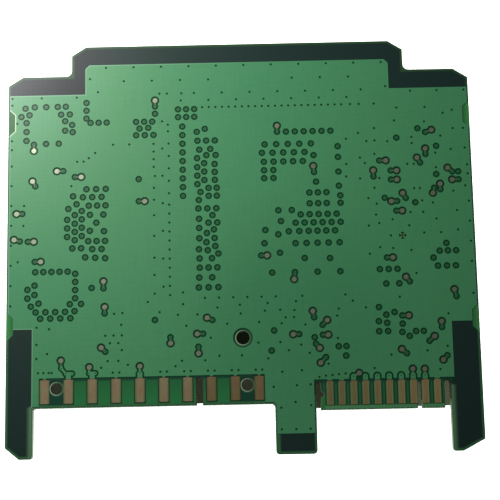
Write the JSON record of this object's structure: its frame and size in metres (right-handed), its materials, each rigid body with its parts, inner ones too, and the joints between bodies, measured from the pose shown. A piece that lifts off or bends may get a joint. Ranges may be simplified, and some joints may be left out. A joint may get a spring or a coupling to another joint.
{
  "type": "led driver board",
  "caption": "Small plug-in driver card with a stepped outline, guide legs, a keyed tab and slots, gold contact rows on its bare side and surface-mount parts on the other.",
  "frame": {"origin": "centre of the card's outline, on the plane on which its tallest parts rest", "axes": "+X along the contact edge, from the power contacts to the signal contacts; +Y from the contacts to the stepped top edge; +Z out of the bare, contact-carrying side"},
  "size_m": [0.04, 0.0358, 0.0021],
  "materials": {
    "laminate": "pale glass-epoxy laminate, milled edges",
    "pour_copper": "copper foil seen through green solder mask",
    "green_mask": "green solder mask over copper, satin",
    "dark_mask": "green solder mask over bare laminate, darker, satin",
    "test_gold": "gold-plated copper, slightly dull",
    "contact_gold": "gold-plated copper, worn and tarnished",
    "land_tin": "tinned copper",
    "lead_tin": "matt tin plating",
    "moulding": "black moulding compound, fine matt grain",
    "ferrite": "sintered ferrite, dark grey",
    "enamelled_wire": "enamelled copper wire",
    "oscillator_ceramic": "cream ceramic",
    "oscillator_metal": "nickel-plated lid",
    "tantalum_moulding": "ochre moulding compound",
    "capacitor_ceramic": "tan ceramic",
    "resistor_glaze": "black glaze",
    "solder": "bright solder"
  },
  "bodies": {
    "root": {"board_laminate": "laminate", "ground_pour": "pour_copper", "net_pads": "pour_copper", "test_pads": "test_gold", "mask_over_copper": "green_mask", "mask_over_laminate": "dark_mask", "back_copper": "pour_copper", "component_lands": "land_tin", "back_solder_mask": "green_mask", "power_contact_1": "contact_gold", "power_contact_2": "contact_gold", "power_contact_3": "contact_gold", "power_contact_4": "contact_gold", "power_contact_5": "contact_gold", "power_contact_6": "contact_gold", "power_contact_7": "contact_gold", "power_contact_8": "contact_gold", "power_contact_9": "contact_gold", "power_contact_10": "contact_gold", "signal_contact_1": "contact_gold", "signal_contact_2": "contact_gold", "signal_contact_3": "contact_gold", "signal_contact_4": "contact_gold", "signal_contact_5": "contact_gold", "signal_contact_6": "contact_gold", "signal_contact_7": "contact_gold", "signal_contact_8": "contact_gold", "signal_contact_9": "contact_gold", "signal_contact_10": "contact_gold", "controller_body": "moulding", "controller_leads": "lead_tin", "inductor_core": "ferrite", "inductor_winding": "enamelled_wire", "inductor_terminals": "lead_tin", "regulator_body": "moulding", "regulator_terminals": "lead_tin", "oscillator_base": "oscillator_ceramic", "oscillator_lid": "oscillator_metal", "gate_driver_body": "moulding", "gate_driver_leads": "lead_tin", "dimmer_body": "moulding", "dimmer_terminals": "lead_tin", "rectifier_body": "moulding", "rectifier_leads": "lead_tin", "tantalum_capacitors": "tantalum_moulding", "tantalum_terminals": "lead_tin", "ceramic_capacitors": "capacitor_ceramic", "capacitor_terminals": "lead_tin", "chip_resistors": "resistor_glaze", "resistor_terminals": "lead_tin", "solder_fillets": "solder"}
  },
  "joints": []
}
